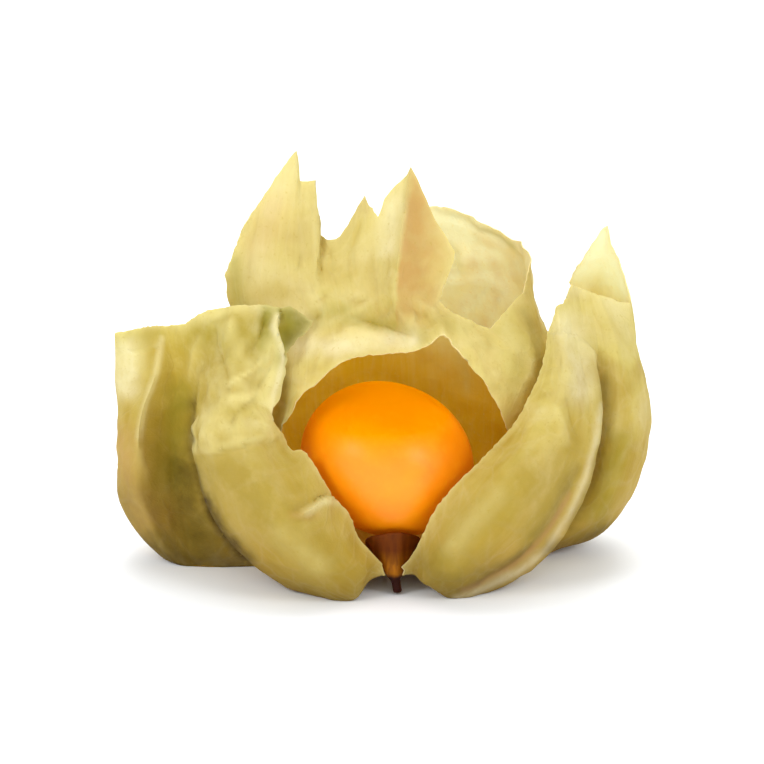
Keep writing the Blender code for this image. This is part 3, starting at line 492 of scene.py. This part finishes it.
normals = vertex_normals(points, quads)
facing = -(normals[:, 1] * math.cos(LEAN) - normals[:, 2] * math.sin(LEAN))
front = {'left': smooth(facing, -.3, .15), 'hood': smooth(facing, -.3, .15), 'right': smooth(facing, -.3, .15), 'back': smooth(-facing, -.3, .15)}
pocket = smooth(-facing, -.3, .15)
tinted = {'left': front['left'], 'hood': front['hood'], 'right': np.maximum(front['right'], pocket), 'back': np.ones(len(points))}
lift = np.zeros(len(points))
# folds gathers the light and shade painted onto fold crests and hollows
folds = np.zeros(len(points))
for name, shape, height, half, path in STROKES:
    m = np.where(names == name)[0]
    dist, sign, where = along(path, seen[m])
    r = dist / half
    fade = smooth(where, -.02, .22) * (1 - smooth(where, .78, 1.02)) * front[name][m]
    if shape == 'ridge':
        form = np.exp(-1.3 * r)
    elif shape == 'round':
        form = np.exp(-r * r)
    else:
        form = np.where(sign > 0, np.exp(-.5 * r), 0)
    lift[m] += (-1 if name == 'back' else 1) * height * form * fade
    folds[m] += height * (form * fade if shape != 'step' else .6 * form * fade)
for name, mask, strength, half, path in TINTS:
    m = np.where(names == name)[0]
    dist, sign, where = along(path, seen[m])
    soft = strength * np.exp(-(dist / half) ** 2)
    if half < 0:
        soft *= smooth(np.where(sign > 0, dist, -dist), -.8, 1.2)
    masks[mask][m] = np.maximum(masks[mask][m], soft * tinted[name][m])

open_edge = {}
for qd in quads:
    for k in range(4):
        open_edge[(qd[k], qd[(k + 1) % 4])] = True
edge_ids = sorted({a for a, b in open_edge if (b, a) not in open_edge})
edge_pts = points[edge_ids]
near = np.full(len(points), 99.0)
for lo in range(0, len(points), 4000):
    diff = points[lo:lo + 4000, None] - edge_pts[None]
    near[lo:lo + 4000] = np.sqrt((diff ** 2).sum(2).min(1))
masks['margin'] = np.exp(-near / .35)

away = np.linalg.norm(points - np.array(ATTACH), axis=1)
calm = smooth(away, 2, 9)
# how crumpled each part is
rough = np.ones(len(points))
m = names == 'hood'
rough[m] = .35 + .55 * (1 - smooth(t_of[m], 6.6, 8.2))
m = names == 'left'
rough[m] = .35 + 1.0 * smooth(t_of[m], 5.7, 6.4) * (1 - smooth(s_of[m], 2.6, 3.6))
m = names == 'right'
rough[m] = .35
masks['crumple'][:] = np.where(names == 'back', 0, np.clip((rough - .3) / 1.6, 0, 1))
for k, p in enumerate(points):
    v = Vector(p)
    broad = noise.noise(v * .16 + seed)
    crumple = noise.noise(v * .42 + seed * 2)
    ridged = 1 - abs(noise.noise(v * .33 + seed * 3)) * 2.2
    fold = 1 - 3.0 * abs(noise.noise(v * .40 + seed * 7))
    fine = noise.noise(v * 1.3 + seed * 4)
    pleat = noise.noise(Vector((uv_of[k, 0] * .42, uv_of[k, 1] * .07, 5.0))) * side[k]
    streak = noise.noise(Vector((uv_of[k, 0] * 1.2, uv_of[k, 1] * .13, 9.0))) * side[k]
    folds[k] += calm[k] * masks['crumple'][k] * (.35 * crumple + .35 * fold - .1)
    lift[k] += calm[k] * (.22 * broad + rough[k] * (.12 * crumple + .16 * max(0, ridged) + .20 * fold) + .025 * fine + .08 * pleat + .01 * streak)
points += normals * lift[:, None]
# painted highlights on fold crests and painted shade in fold hollows
masks['lit'] = np.maximum(masks['lit'], np.clip(folds * 1.1, 0, .8))
masks['deep'] = np.maximum(masks['deep'], np.clip(-folds * 1.5, 0, .9))

# torn margins are a little uneven
for k in edge_ids:
    v = Vector(points[k])
    amount = min(1.0, max(0.0, (away[k] - 4) / 4))
    n = Vector((noise.noise(v * 2.3 + seed), noise.noise(v * 2.3 + seed * 5), noise.noise(v * 2.3 + seed * 6)))
    points[k] += np.array(n) * .14 * amount

points[:, 2] = np.maximum(points[:, 2], LEAF / 2 + 0.02)
normals = vertex_normals(points, quads)

# ---------------------------------------------------------------- closed thin leaf
count = len(points)
leaf_points = np.concatenate([points + normals * LEAF / 2, points - normals * LEAF / 2])
leaf_points[:, 2] = np.maximum(leaf_points[:, 2], 0.0)
edge_used = {}
for qd in quads:
    for k in range(4):
        edge_used[(qd[k], qd[(k + 1) % 4])] = True
rim = [(a, a + count, b + count, b) for a, b in edge_used if (b, a) not in edge_used]
faces = [tuple(f) for f in quads] + [tuple(f[::-1] + count) for f in quads] + rim
leaf_points = (leaf_points + SHIFT) * MM


def new_object(name, verts, faces, smooth_shade=True):
    me = bpy.data.meshes.new(name)
    me.from_pydata([tuple(v) for v in verts], [], [tuple(int(i) for i in f) for f in faces])
    me.update()
    ob = bpy.data.objects.new(name, me)
    bpy.context.scene.collection.objects.link(ob)
    if smooth_shade:
        me.shade_smooth()
    return ob


husk = new_object('husk_leaf', leaf_points, faces)
me = husk.data
uv = me.uv_layers.new(name='leaf')
nq = len(quads)
loop_uv = np.zeros((len(me.loops), 2), np.float32)
loop_uv[:nq * 4] = quad_uv.reshape(-1, 2)
loop_uv[nq * 4:nq * 8] = quad_uv[:, ::-1].reshape(-1, 2)
uv.data.foreach_set('uv', (loop_uv * 0.1).ravel())
mats = np.zeros(len(faces), np.int32)
mats[nq:2 * nq] = 1
mats[2 * nq:] = 2
for name, values in masks.items():
    at = me.attributes.new(name, 'FLOAT', 'POINT')
    at.data.foreach_set('value', np.concatenate([values, values]).astype(np.float32))

# ---------------------------------------------------------------- materials
def lin(r, g, b):
    def f(c):
        c /= 255
        return c / 12.92 if c <= .04045 else ((c + .055) / 1.055) ** 2.4
    return (f(r), f(g), f(b), 1.0)


class Nodes:
    def __init__(self, name):
        self.mat = bpy.data.materials.new(name)
        self.mat.use_nodes = True
        self.tree = self.mat.node_tree
        self.tree.nodes.clear()

    def add(self, kind, **inputs):
        node = self.tree.nodes.new(kind)
        for key, value in inputs.items():
            key = key.replace('_', ' ')
            if hasattr(value, 'is_output'):
                self.tree.links.new(value, node.inputs[key])
            else:
                node.inputs[key].default_value = value
        return node

    def link(self, a, b):
        self.tree.links.new(a, b)

    def ramp(self, fac, stops):
        node = self.add('ShaderNodeValToRGB')
        self.link(fac, node.inputs['Fac'])
        el = node.color_ramp.elements
        while len(el) > len(stops):
            el.remove(el[-1])
        while len(el) < len(stops):
            el.new(.5)
        for e, (pos, col) in zip(el, stops):
            e.position = pos
            e.color = col if len(col) == 4 else (*col, 1)
        return node.outputs['Color']

    def mix(self, fac, a, b, blend='MIX'):
        node = self.add('ShaderNodeMix')
        node.data_type = 'RGBA'
        node.blend_type = blend
        for sock, value in ((node.inputs[0], fac), (node.inputs[6], a), (node.inputs[7], b)):
            if hasattr(value, 'is_output'):
                self.link(value, sock)
            else:
                sock.default_value = value
        return node.outputs[2]

    def math(self, op, a, b=0.0, c=None, clamp=False):
        node = self.add('ShaderNodeMath')
        node.operation = op
        node.use_clamp = clamp
        for sock, value in zip(node.inputs, (a, b, c)):
            if value is None:
                continue
            if hasattr(value, 'is_output'):
                self.link(value, sock)
            else:
                sock.default_value = value
        return node.outputs[0]

    def attribute(self, name):
        node = self.add('ShaderNodeAttribute')
        node.attribute_name = name
        return node.outputs['Fac']

    def scaled(self, vector, scale):
        node = self.add('ShaderNodeMapping', Scale=scale)
        self.link(vector, node.inputs['Vector'])
        return node.outputs['Vector']

    def noise(self, vector, scale, detail=3.0, rough=.55, distortion=0.0):
        node = self.add('ShaderNodeTexNoise', Scale=scale, Detail=detail, Roughness=rough, Distortion=distortion)
        self.link(vector, node.inputs['Vector'])
        return node.outputs['Fac']


# Husk colours. base, light, green and tan are the leaf's own tones; deep is a darker tone that also serves as painted
# shade in valleys and fold hollows; pale is paler tissue and, in places, painted highlight; the highlight colour is
# painted highlight; dark is painted shade; low is the darker, yellower colour of the lower parts, painted shade
# (inside, golden and orange: painted shade and orange bounce light in the cup); shade is painted shade near the floor;
# high makes the upper parts paler.
OUTSIDE = dict(base=lin(214, 203, 112), light=lin(231, 224, 158), lit=lin(238, 229, 160), deep=lin(182, 160, 60), dark=lin(74, 54, 14), green=lin(150, 146, 36), tan=lin(204, 164, 98), pale=lin(250, 245, 210),
               glow=lin(238, 218, 96), low=lin(194, 161, 52), shade=lin(104, 82, 26), rise=(4, 22), through=.42, shine=.22, mixed=.88,
               high=lin(212, 200, 160), topped=.5, veined=.07)
INSIDE = dict(base=lin(240, 228, 166), light=lin(250, 242, 198), lit=lin(252, 246, 206), deep=lin(228, 206, 130), dark=lin(120, 80, 10), green=lin(150, 146, 40), tan=lin(206, 168, 104), pale=lin(244, 255, 238),
              glow=lin(254, 238, 160), low=lin(228, 186, 14), shade=lin(198, 122, 0), rise=(17, 24), through=.46, shine=.08, mixed=.98,
              high=lin(255, 254, 226), topped=.6, veined=.02)
EDGE = dict(base=lin(236, 220, 152), light=lin(244, 234, 184), lit=lin(246, 236, 180), deep=lin(212, 190, 110), dark=lin(130, 104, 40), green=lin(188, 182, 84), tan=lin(226, 198, 138), pale=lin(248, 240, 196),
            glow=lin(246, 226, 150), low=lin(214, 184, 98), shade=lin(160, 130, 56), rise=(0, 17), through=.45, shine=.2, mixed=.85,
            high=lin(248, 240, 200), topped=.4, veined=.04)


def husk_material(name, col):
    n = Nodes(name)
    coord = n.add('ShaderNodeTexCoord')
    obj = n.scaled(coord.outputs['Object'], (1000, 1000, 1000))
    leaf = n.scaled(coord.outputs['UV'], (10, 10, 10))
    blotch = n.noise(obj, .11, 3.0, .6, .3)
    colour = n.ramp(blotch, [(.34, col['deep']), (.50, col['base']), (.68, col['light'])])
    # darker and yellower towards the base: painted shade on the lower parts (inside: painted shade and orange bounce
    # light in the cup); painted shade near the floor; paler towards the tips
    height = n.add('ShaderNodeSeparateXYZ')
    n.link(obj, height.inputs[0])
    lo, hi = col['rise']
    low = n.math('SUBTRACT', 1.0, n.math('DIVIDE', n.math('SUBTRACT', height.outputs['Z'], float(lo)), float(hi - lo)), clamp=True)
    colour = n.mix(n.math('MULTIPLY', low, col['mixed']), colour, col['low'])
    painted_floor_shade = n.math('SUBTRACT', 1.0, n.math('DIVIDE', height.outputs['Z'], 4.5), clamp=True)
    colour = n.mix(n.math('MULTIPLY', painted_floor_shade, .6), colour, col['shade'])
    high = n.math('DIVIDE', n.math('SUBTRACT', height.outputs['Z'], 18.0), 22.0, clamp=True)
    colour = n.mix(n.math('MULTIPLY', high, col['topped']), colour, col['high'])
    along = n.scaled(leaf, (1.5, .12, 1))
    streak = n.noise(along, 1.0, 4.0, .6, .4)
    colour = n.mix(n.ramp(streak, [(.40, (0, 0, 0)), (.70, (.14, .14, .14))]), colour, col['light'])
    colour = n.mix(n.ramp(streak, [(.30, (.12, .12, .12)), (.48, (0, 0, 0))]), colour, col['deep'])
    # net of fine veins
    warp = n.add('ShaderNodeTexNoise', Scale=.5, Detail=2.0)
    n.link(leaf, warp.inputs['Vector'])
    bent = n.mix(.55, leaf, warp.outputs['Color'], 'LINEAR_LIGHT')
    cells = n.add('ShaderNodeTexVoronoi', Scale=.42, Randomness=.9)
    cells.feature = 'DISTANCE_TO_EDGE'
    n.link(n.scaled(bent, (1.0, .62, 1)), cells.inputs['Vector'])
    vein = n.ramp(cells.outputs['Distance'], [(0.0, (1, 1, 1)), (.035, (.6, .6, .6)), (.09, (0, 0, 0))])
    small = n.add('ShaderNodeTexVoronoi', Scale=1.25, Randomness=1.0)
    small.feature = 'DISTANCE_TO_EDGE'
    n.link(bent, small.inputs['Vector'])
    vein2 = n.ramp(small.outputs['Distance'], [(0.0, (1, 1, 1)), (.10, (0, 0, 0))])
    colour = n.mix(n.math('MULTIPLY', vein, col['veined']), colour, col['pale'])
    colour = n.mix(n.math('MULTIPLY', vein2, col['veined'] * .85), colour, col['deep'])
    patch = n.noise(obj, .55, 3.0, .6)
    # painted highlights and painted shade of the crumples, where the leaf is crumpled
    crumple_light_and_shade = n.noise(obj, .42, 2.5, .5, .4)
    rumpled = n.attribute('crumple')
    colour = n.mix(n.math('MULTIPLY', rumpled, n.ramp(crumple_light_and_shade, [(.50, (0, 0, 0)), (.70, (.40, .40, .40))])), colour, col['pale'])
    colour = n.mix(n.math('MULTIPLY', rumpled, n.ramp(crumple_light_and_shade, [(.30, (.40, .40, .40)), (.48, (0, 0, 0))])), colour, col['deep'])
    # tint masks: dark is painted shade, the highlight mask is painted highlights, deep is partly painted shade, and
    # pale is partly painted highlight and light through the leaf
    for mask, amount in (('deep', .85), ('green', .8), ('tan', .85), ('pale', .85), ('lit', .8), ('dark', .95)):
        uneven = n.math('MULTIPLY', n.attribute(mask), n.math('MULTIPLY_ADD', patch, 1.6, .25), clamp=True)
        colour = n.mix(n.math('MULTIPLY', uneven, amount), colour, col[mask])
    colour = n.mix(n.math('MULTIPLY', n.attribute('margin'), .5), colour, col['light'])
    speck = n.noise(obj, 2.6, 2.0, .5)
    colour = n.mix(n.ramp(speck, [(.62, (0, 0, 0)), (.78, (.35, .35, .35))]), colour, col['deep'])
    # surface relief
    grain = n.noise(obj, 1.9, 4.0, .6)
    relief = n.math('ADD', n.math('MULTIPLY', grain, .35), n.math('MULTIPLY', streak, .2))
    relief = n.math('ADD', relief, n.math('MULTIPLY', vein, .2))
    relief = n.math('ADD', relief, n.math('MULTIPLY', vein2, .1))
    bump = n.add('ShaderNodeBump', Strength=.4, Distance=.00020)
    n.link(relief, bump.inputs['Height'])
    body = n.add('ShaderNodeBsdfPrincipled')
    n.link(colour, body.inputs['Base Color'])
    n.link(bump.outputs['Normal'], body.inputs['Normal'])
    n.link(n.math('MULTIPLY_ADD', grain, .25, .48), body.inputs['Roughness'])
    body.inputs['Specular IOR Level'].default_value = col['shine']
    glow = n.add('ShaderNodeBsdfTranslucent')
    n.link(n.mix(n.math('MULTIPLY_ADD', low, -.42, .5), colour, col['glow']), glow.inputs['Color'])
    n.link(bump.outputs['Normal'], glow.inputs['Normal'])
    both = n.add('ShaderNodeMixShader')
    both.inputs['Fac'].default_value = col['through']
    n.link(body.outputs[0], both.inputs[1])
    n.link(glow.outputs[0], both.inputs[2])
    out = n.add('ShaderNodeOutputMaterial')
    n.link(both.outputs[0], out.inputs['Surface'])
    return n.mat


def berry_material():
    n = Nodes('berry_skin')
    coord = n.add('ShaderNodeTexCoord')
    obj = n.scaled(coord.outputs['Object'], (1000, 1000, 1000))
    cloud = n.noise(obj, .13, 3.0, .55, .3)
    colour = n.ramp(cloud, [(.30, lin(230, 128, 0)), (.5, lin(237, 137, 0)), (.7, lin(244, 146, 0))])
    mottle = n.noise(obj, 1.1, 4.0, .6)
    colour = n.mix(n.ramp(mottle, [(.5, (0, 0, 0)), (.8, (.15, .15, .15))]), colour, lin(255, 180, 40))
    height = n.add('ShaderNodeSeparateXYZ')
    n.link(obj, height.inputs[0])
    # darker, redder orange over the top of the berry: painted shade from the hood above it
    top = n.math('DIVIDE', n.math('SUBTRACT', height.outputs['Z'], 16.6), 2.6, clamp=True)
    colour = n.mix(n.math('MULTIPLY', top, .85), colour, lin(200, 118, 0))
    pores = n.noise(obj, 6.0, 2.0, .5)
    bump = n.add('ShaderNodeBump', Strength=.12, Distance=.00008)
    n.link(n.math('ADD', n.math('MULTIPLY', pores, .4), mottle), bump.inputs['Height'])
    body = n.add('ShaderNodeBsdfPrincipled')
    n.link(colour, body.inputs['Base Color'])
    n.link(n.math('MULTIPLY_ADD', mottle, .10, .32), body.inputs['Roughness'])
    dull = n.math('DIVIDE', n.math('SUBTRACT', 17.0, height.outputs['Z']), 3.0, clamp=True)
    n.link(n.math('MULTIPLY_ADD', dull, .42, .0), body.inputs['Specular IOR Level'])
    n.link(bump.outputs['Normal'], body.inputs['Normal'])
    body.inputs['Subsurface Weight'].default_value = .35
    body.inputs['Subsurface Radius'].default_value = (1.0, .40, .10)
    body.inputs['Subsurface Scale'].default_value = .0022
    # faint orange glow: painted light that lifts the berry's shaded parts
    body.inputs['Emission Color'].default_value = lin(255, 120, 0)
    body.inputs['Emission Strength'].default_value = .08
    out = n.add('ShaderNodeOutputMaterial')
    n.link(body.outputs[0], out.inputs['Surface'])
    return n.mat


def stem_material():
    n = Nodes('stem_bark')
    coord = n.add('ShaderNodeTexCoord')
    obj = n.scaled(coord.outputs['Object'], (1000, 1000, 1000))
    fibre = n.noise(n.scaled(obj, (2.2, 2.2, .35)), 1.0, 3.0, .5, .2)
    # dark stub below; above it the receptacle's golden brown, partly its own brown and partly painted shade with orange
    # bounce light, turning to painted shade just under the berry
    dark = n.ramp(fibre, [(.3, lin(34, 8, 2)), (.55, lin(52, 16, 6)), (.8, lin(84, 36, 16))])
    gold = n.ramp(fibre, [(.3, lin(112, 62, 2)), (.55, lin(140, 82, 4)), (.8, lin(158, 98, 12))])
    shade_under_berry = n.ramp(fibre, [(.3, lin(86, 36, 0)), (.8, lin(112, 54, 2))])
    height = n.add('ShaderNodeSeparateXYZ')
    n.link(obj, height.inputs[0])
    up = n.math('DIVIDE', n.math('SUBTRACT', height.outputs['Z'], 1.9), .5, clamp=True)
    rim = n.math('DIVIDE', n.math('SUBTRACT', height.outputs['Z'], 3.4), 1.4, clamp=True)
    colour = n.mix(up, dark, n.mix(rim, gold, shade_under_berry))
    bump = n.add('ShaderNodeBump', Strength=.25, Distance=.0001)
    n.link(fibre, bump.inputs['Height'])
    body = n.add('ShaderNodeBsdfPrincipled')
    n.link(colour, body.inputs['Base Color'])
    n.link(bump.outputs['Normal'], body.inputs['Normal'])
    n.link(n.math('MULTIPLY_ADD', fibre, .2, .55), body.inputs['Roughness'])
    body.inputs['Specular IOR Level'].default_value = .12
    out = n.add('ShaderNodeOutputMaterial')
    n.link(body.outputs[0], out.inputs['Surface'])
    return n.mat

me.materials.append(husk_material('husk_outside', OUTSIDE))
me.materials.append(husk_material('husk_inside', INSIDE))
me.materials.append(husk_material('husk_edge', EDGE))
me.polygons.foreach_set('material_index', mats)
me.set_sharp_from_angle(angle=math.radians(70))
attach(husk, 'root')
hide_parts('husk')

# ---------------------------------------------------------------- berry and stem
def unit(v):
    v = np.asarray(v, float)
    return v / np.linalg.norm(v)


def lathe(rings, steps):
    """Closed body through (centre, radius, axis) rings; a ring of radius 0 is a single point."""
    v, f, rows = [], [], []
    for centre, radius, axis in rings:
        ax = unit(axis)
        across = unit(np.cross((0, 1, 0), ax))
        up = np.cross(ax, across)
        if radius == 0:
            v.append(np.array(centre, float))
            rows.append([len(v) - 1])
            continue
        row = []
        for k in range(steps):
            a = 2 * math.pi * k / steps
            v.append(np.array(centre) + radius * (math.cos(a) * across + math.sin(a) * up))
            row.append(len(v) - 1)
        rows.append(row)
    for lo, hi in zip(rows, rows[1:]):
        for k in range(steps):
            k2 = (k + 1) % steps
            if len(lo) == 1:
                f.append((lo[0], hi[k2], hi[k]))
            elif len(hi) == 1:
                f.append((lo[k], lo[k2], hi[0]))
            else:
                f.append((lo[k], lo[k2], hi[k2], hi[k]))
    return np.array(v), f


BERRY_AT = np.array([-0.05, 9.0, 12.15])
TILT = -.12            # the berry leans a little to the left
WIDE, HIGH = 8.75, 7.85
N = 72
rings = []
for i in range(N + 1):
    a = -math.pi / 2 + math.pi * i / N
    rings.append((BERRY_AT + np.array([TILT * HIGH * math.sin(a), 0, HIGH * math.sin(a)]), 0 if i in (0, N) else WIDE * math.cos(a), (0, 0, 1)))
v, f = lathe(rings, 120)
for k, p in enumerate(v):
    out = unit(p - BERRY_AT)
    v[k] = p + out * (.10 * noise.noise(Vector(p) * .12 + seed) - .03)
berry = new_object('berry_fruit', (v + SHIFT) * MM, f)
berry.data.materials.append(berry_material())
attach(berry, 'root')
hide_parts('berry')

axis = unit(BERRY_AT - np.array(ATTACH))
A = np.array(ATTACH)
spine = [((0.95, 2.0, 0.27), .36, (-.1, .03, 1)), ((0.93, 2.0, 0.45), .44, (-.1, .03, 1)), ((0.86, 2.0, 0.9), .44, (-.1, .03, 1)),
         ((0.80, 2.02, 1.3), .46, (-.1, .03, 1)), ((0.72, 2.05, 1.7), .55, (-.1, .03, 1)), (tuple(A), .98, (0, .3, 1)),
         (tuple(A + .5 * axis), 1.15, axis), (tuple(A + 1.1 * axis), 1.4, axis), (tuple(A + 1.7 * axis), 1.8, axis), (tuple(A + 2.3 * axis), 2.25, axis),
         (tuple(A + 2.8 * axis), 2.6, axis), (tuple(A + 3.15 * axis), 2.8, axis), (tuple(A + 3.4 * axis), 2.75, axis), (tuple(A + 3.5 * axis), 2.4, axis)]
m = spline_matrix(range(len(spine)), steps([5] * (len(spine) - 1)))
centres = m @ np.array([c for c, r, x in spine])
radii = m @ np.array([r for c, r, x in spine])
axes = m @ np.array([unit(x) for c, r, x in spine])
rings = [((centres[0] - .02 * axes[0]), 0, axes[0])] + [(c, r, x) for c, r, x in zip(centres, radii, axes)] + [(A + 3.3 * axis, 0, axis)]
v, f = lathe(rings, 48)
for k in range(1, len(v) - 1):
    i, j = divmod(k - 1, 48)
    a = 2 * math.pi * j / 48
    out = v[k] - centres[min(i, len(centres) - 1)]
    v[k] += out * (.03 * math.cos(5 * a + .4) + .02 * noise.noise(Vector((math.cos(a) * 2, math.sin(a) * 2, i * .12))))
stem = new_object('stem_stub', (v + SHIFT) * MM, f)
stem.data.materials.append(stem_material())
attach(stem, 'root')
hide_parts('stem')

# ---------------------------------------------------------------- floor, light, camera
floor = new_object('floor', [(-4, -4, 0), (4, -4, 0), (4, 6, 0), (-4, 6, 0)], [(0, 1, 2, 3)], False)
n = Nodes('floor_paper')
paper = n.add('ShaderNodeBsdfPrincipled', Roughness=.9)
paper.inputs['Base Color'].default_value = (.89, .92, .96, 1)
paper.inputs['Specular IOR Level'].default_value = .1
out = n.add('ShaderNodeOutputMaterial')
n.link(paper.outputs[0], out.inputs['Surface'])
floor.data.materials.append(n.mat)


def softbox(name, place, size, power, target=(0, 0, .017)):
    data = bpy.data.lights.new(name, 'AREA')
    data.shape = 'SQUARE'
    data.size = size
    data.energy = power
    ob = bpy.data.objects.new(name, data)
    bpy.context.scene.collection.objects.link(ob)
    ob.location = place
    ob.rotation_euler = (Vector(target) - Vector(place)).to_track_quat('-Z', 'Y').to_euler()
    return ob


softbox('light_left', (-.42, -.36, .37), .20, 1.35)
softbox('light_right', (.42, -.36, .37), .20, 1.15)
softbox('light_front', (-.05, -.64, .26), .7, .9)
softbox('light_top', (0, .26, .77), .55, 2.5)
softbox('light_back', (.05, .55, .45), .5, 2.2)
world = bpy.data.worlds.new('studio')
bpy.context.scene.world = world
world.use_nodes = True
world.node_tree.nodes['Background'].inputs['Color'].default_value = (1, 1, 1, 1)
world.node_tree.nodes['Background'].inputs['Strength'].default_value = .79

DISTANCE = 1500.0
ahead = np.array([0, math.cos(LEAN), -math.sin(LEAN)])
upward = np.array([0, math.sin(LEAN), math.cos(LEAN)])
middle = np.array([-6 * UNIT, 0, 0]) + upward * 218 * UNIT + ahead * (9 * math.cos(LEAN) - 12 * math.sin(LEAN)) + SHIFT
cam_data = bpy.data.cameras.new('camera')
cam_data.sensor_width = 36
cam_data.lens = 36 * DISTANCE / (764 * UNIT)
cam_data.clip_start = .05
cam_data.clip_end = 50
camera = bpy.data.objects.new('camera', cam_data)
bpy.context.scene.collection.objects.link(camera)
camera.location = (middle - ahead * DISTANCE) * MM
camera.rotation_euler = (math.pi / 2 - LEAN, 0, 0)
bpy.context.scene.camera = camera
bpy.context.scene.view_settings.view_transform = 'Standard'
